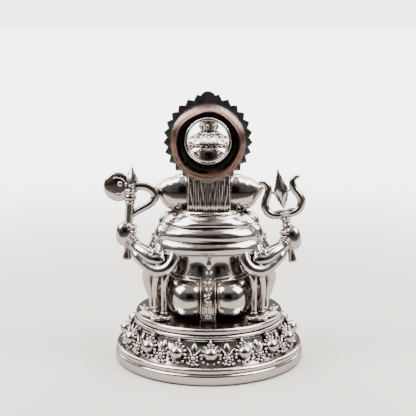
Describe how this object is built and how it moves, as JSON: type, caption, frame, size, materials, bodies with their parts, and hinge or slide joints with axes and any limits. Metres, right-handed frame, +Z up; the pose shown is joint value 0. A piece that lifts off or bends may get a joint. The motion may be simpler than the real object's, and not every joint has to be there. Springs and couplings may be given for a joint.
{
  "type": "seated elephant-headed figurine",
  "caption": "Small silver-plated figurine of a seated four-armed elephant-headed figure with a rayed halo, axe and trident, on a round beaded pedestal; stands on a shelf",
  "frame": {"origin": "centre of the pedestal's flat underside, on the axis of its round band", "axes": "+Z up, -Y the way the figure faces, +X its left side, where it holds the axe"},
  "size_m": [0.0793, 0.076, 0.1083],
  "materials": {
    "silver": "bright silver plate over a casting, slightly warm, blackened in the recesses",
    "tarnished_silver": "silver plate toned grey to coppery brown on the halo"
  },
  "bodies": {
    "root": {"pedestal": "silver", "figure": "silver", "halo": "tarnished_silver", "axe": "silver", "trident": "silver"}
  },
  "joints": []
}
